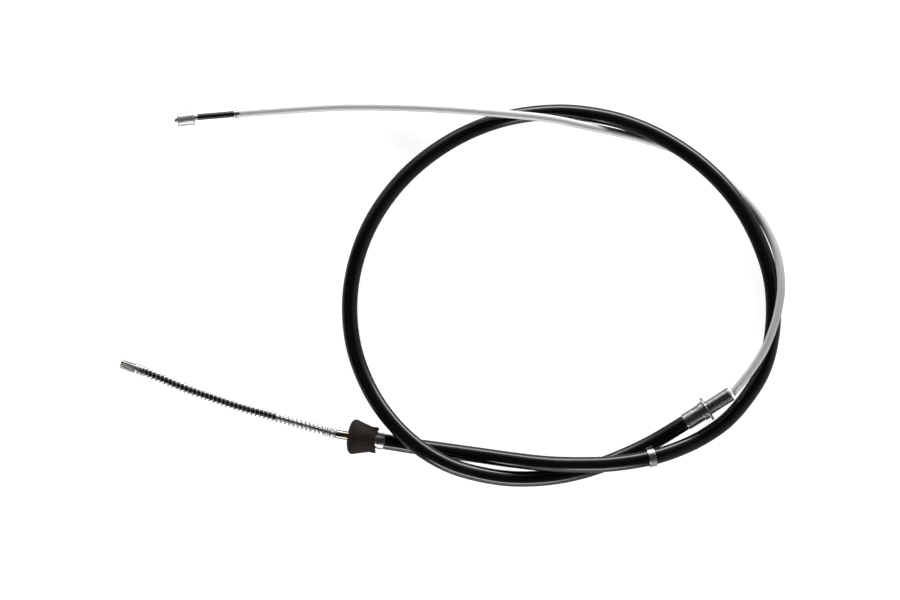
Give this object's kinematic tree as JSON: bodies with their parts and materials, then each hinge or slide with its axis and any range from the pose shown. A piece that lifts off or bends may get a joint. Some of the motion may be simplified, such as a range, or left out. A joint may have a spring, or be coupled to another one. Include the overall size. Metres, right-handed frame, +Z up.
{
  "type": "parking brake cable",
  "caption": "Rear parking brake cable: sheathed conduit with return spring, rubber grommet, flanged ferrule, coated wire and barrel nipple, lying in a loose loop.",
  "frame": {"origin": "on the surface the cable lies on, under the middle of its outline", "axes": "+X from the free ends towards the far side of the loop, along the longest extent; +Y from the spring side towards the barrel nipple side; +Z up"},
  "size_m": [0.3828, 0.2205, 0.0202],
  "materials": {
    "zinc_steel": "zinc plated, satin",
    "spring_steel": "bright zinc plated spring wire",
    "wire_rope": "stranded galvanised wire",
    "bright_steel": "bright zinc plated",
    "grommet_rubber": "matte",
    "black_jacket": "glossy extruded",
    "black_sleeve": "satin shrink sleeve",
    "pale_coating": "satin extruded",
    "white_bush": "satin"
  },
  "bodies": {
    "conduit": {"conduit_jacket": "black_jacket", "conduit_armour": "wire_rope", "conduit_liner": "white_bush", "inner_wire": "wire_rope", "wire_coating": "pale_coating", "return_spring": "spring_steel", "spring_seat_washer": "zinc_steel", "guide_tube": "zinc_steel", "rubber_grommet": "grommet_rubber", "brake_end_ferrule": "bright_steel", "marker_band": "bright_steel", "lever_end_ferrule": "bright_steel", "lever_end_flange": "bright_steel", "lever_end_guide_tube": "bright_steel", "lever_end_bush": "white_bush"},
    "lever_end": {"lever_end_nipple": "bright_steel", "lever_end_sleeve": "black_sleeve", "coating_end_collar": "bright_steel"},
    "brake_end": {"brake_end_nipple": "zinc_steel", "brake_end_wire_sleeve": "black_sleeve"}
  },
  "joints": [
    {"name": "lever_pull", "type": "slide", "parent": "conduit", "child": "lever_end", "axis": [-0.9938, -0.109, 0.022], "range_m": [0, 0.03], "stiffness_N_per_m": 800, "deforming": ["wire_coating", "inner_wire"]},
    {"name": "brake_travel", "type": "slide", "parent": "conduit", "child": "brake_end", "axis": [0.9513, -0.3051, 0.045], "range_m": [0, 0.03], "deforming": ["return_spring", "inner_wire"]}
  ],
  "couplings": [
    {"joint": "brake_travel", "follows": "lever_pull", "ratio": 1}
  ]
}
